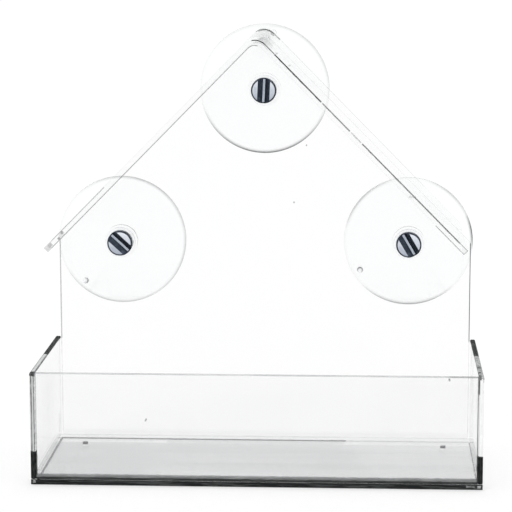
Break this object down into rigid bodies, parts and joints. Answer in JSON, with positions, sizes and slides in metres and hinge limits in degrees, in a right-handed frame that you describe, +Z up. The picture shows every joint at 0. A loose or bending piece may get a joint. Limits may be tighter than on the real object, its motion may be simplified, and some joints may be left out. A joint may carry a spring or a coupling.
{
  "type": "window bird feeder",
  "caption": "Clear acrylic house-shaped bird feeder for a window, with a bent roof, an open seed tray and suction cups clamped by slotted screws.",
  "frame": {"origin": "on the table, midway across the feeder and midway between the roof's front edge and the lips of the suction cups", "axes": "+Z up, +X to the right as seen from the front, +Y towards the window glass that the cups hold"},
  "size_m": [0.1542, 0.071, 0.1537],
  "materials": {
    "clear_acrylic": "clear cast acrylic, polished faces, darker sawn edges",
    "clear_pvc": "clear soft PVC, glossy",
    "plated_insert": "nickel-plated steel",
    "plated_screw": "bright nickel-plated steel"
  },
  "bodies": {
    "shell": {"back_panel": "clear_acrylic", "roof": "clear_acrylic", "tray_floor": "clear_acrylic", "tray_front": "clear_acrylic", "tray_side_left": "clear_acrylic", "tray_side_right": "clear_acrylic"},
    "cup_top": {"suction_cup_top": "clear_pvc", "threaded_insert_top": "plated_insert"},
    "cup_left": {"suction_cup_left": "clear_pvc", "threaded_insert_left": "plated_insert"},
    "cup_right": {"suction_cup_right": "clear_pvc", "threaded_insert_right": "plated_insert"},
    "loose_washer_top": {"washer_top": "clear_pvc"},
    "loose_washer_left": {"washer_left": "clear_pvc"},
    "loose_washer_right": {"washer_right": "clear_pvc"},
    "clamp_screw_top": {"screw_top": "plated_screw"},
    "clamp_screw_left": {"screw_left": "plated_screw"},
    "clamp_screw_right": {"screw_right": "plated_screw"}
  },
  "joints": [
    {"name": "cup_top_turn", "type": "hinge", "parent": "shell", "child": "cup_top", "pos_m": [0, 0.02865, 0.1302], "axis": [0, -1, 0], "continuous": true},
    {"name": "cup_left_turn", "type": "hinge", "parent": "shell", "child": "cup_left", "pos_m": [-0.0525, 0.02865, 0.0745], "axis": [0, -1, 0], "continuous": true},
    {"name": "cup_right_turn", "type": "hinge", "parent": "shell", "child": "cup_right", "pos_m": [0.0525, 0.02865, 0.0745], "axis": [0, -1, 0], "continuous": true},
    {"name": "washer_top_slide", "type": "slide", "parent": "cup_top", "child": "loose_washer_top", "axis": [0, -1, 0], "range_m": [0, 0.0028]},
    {"name": "washer_left_slide", "type": "slide", "parent": "cup_left", "child": "loose_washer_left", "axis": [0, -1, 0], "range_m": [0, 0.0028]},
    {"name": "washer_right_slide", "type": "slide", "parent": "cup_right", "child": "loose_washer_right", "axis": [0, -1, 0], "range_m": [0, 0.0028]},
    {"name": "screw_top_turn", "type": "hinge", "parent": "loose_washer_top", "child": "clamp_screw_top", "pos_m": [0, 0.02865, 0.1302], "axis": [0, -1, 0], "range_deg": [0, 1620]},
    {"name": "screw_left_turn", "type": "hinge", "parent": "loose_washer_left", "child": "clamp_screw_left", "pos_m": [-0.0525, 0.02865, 0.0745], "axis": [0, -1, 0], "range_deg": [0, 1620]},
    {"name": "screw_right_turn", "type": "hinge", "parent": "loose_washer_right", "child": "clamp_screw_right", "pos_m": [0.0525, 0.02865, 0.0745], "axis": [0, -1, 0], "range_deg": [0, 1620]}
  ],
  "couplings": [
    {"joint": "screw_top_turn", "follows": "washer_top_slide", "rad_per_m": 8975.9},
    {"joint": "screw_left_turn", "follows": "washer_left_slide", "rad_per_m": 8975.9},
    {"joint": "screw_right_turn", "follows": "washer_right_slide", "rad_per_m": 8975.9}
  ]
}
